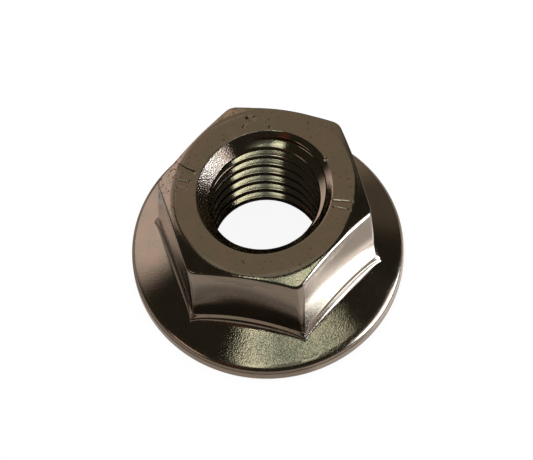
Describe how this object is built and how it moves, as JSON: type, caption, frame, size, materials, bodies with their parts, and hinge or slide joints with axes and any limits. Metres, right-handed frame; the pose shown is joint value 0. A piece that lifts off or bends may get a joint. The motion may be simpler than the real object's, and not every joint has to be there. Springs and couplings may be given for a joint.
{
  "type": "flange lock nut",
  "caption": "All-metal hexagon lock nut with a wide built-in flange, flared flats and a squeezed top end that pinches its thread.",
  "frame": {"origin": "centre of the bearing face under the flange, which the nut stands on", "axes": "+Z along the thread, from the flange to the hexagon's top face; X across the squeezed pair of flats"},
  "size_m": [0.026, 0.026, 0.0137],
  "materials": {
    "plated_steel": "glossy plated steel with a warm olive-bronze tint, finely pitted on the chamfer and the flange"
  },
  "bodies": {
    "root": {"flange_nut": "plated_steel"}
  },
  "joints": []
}
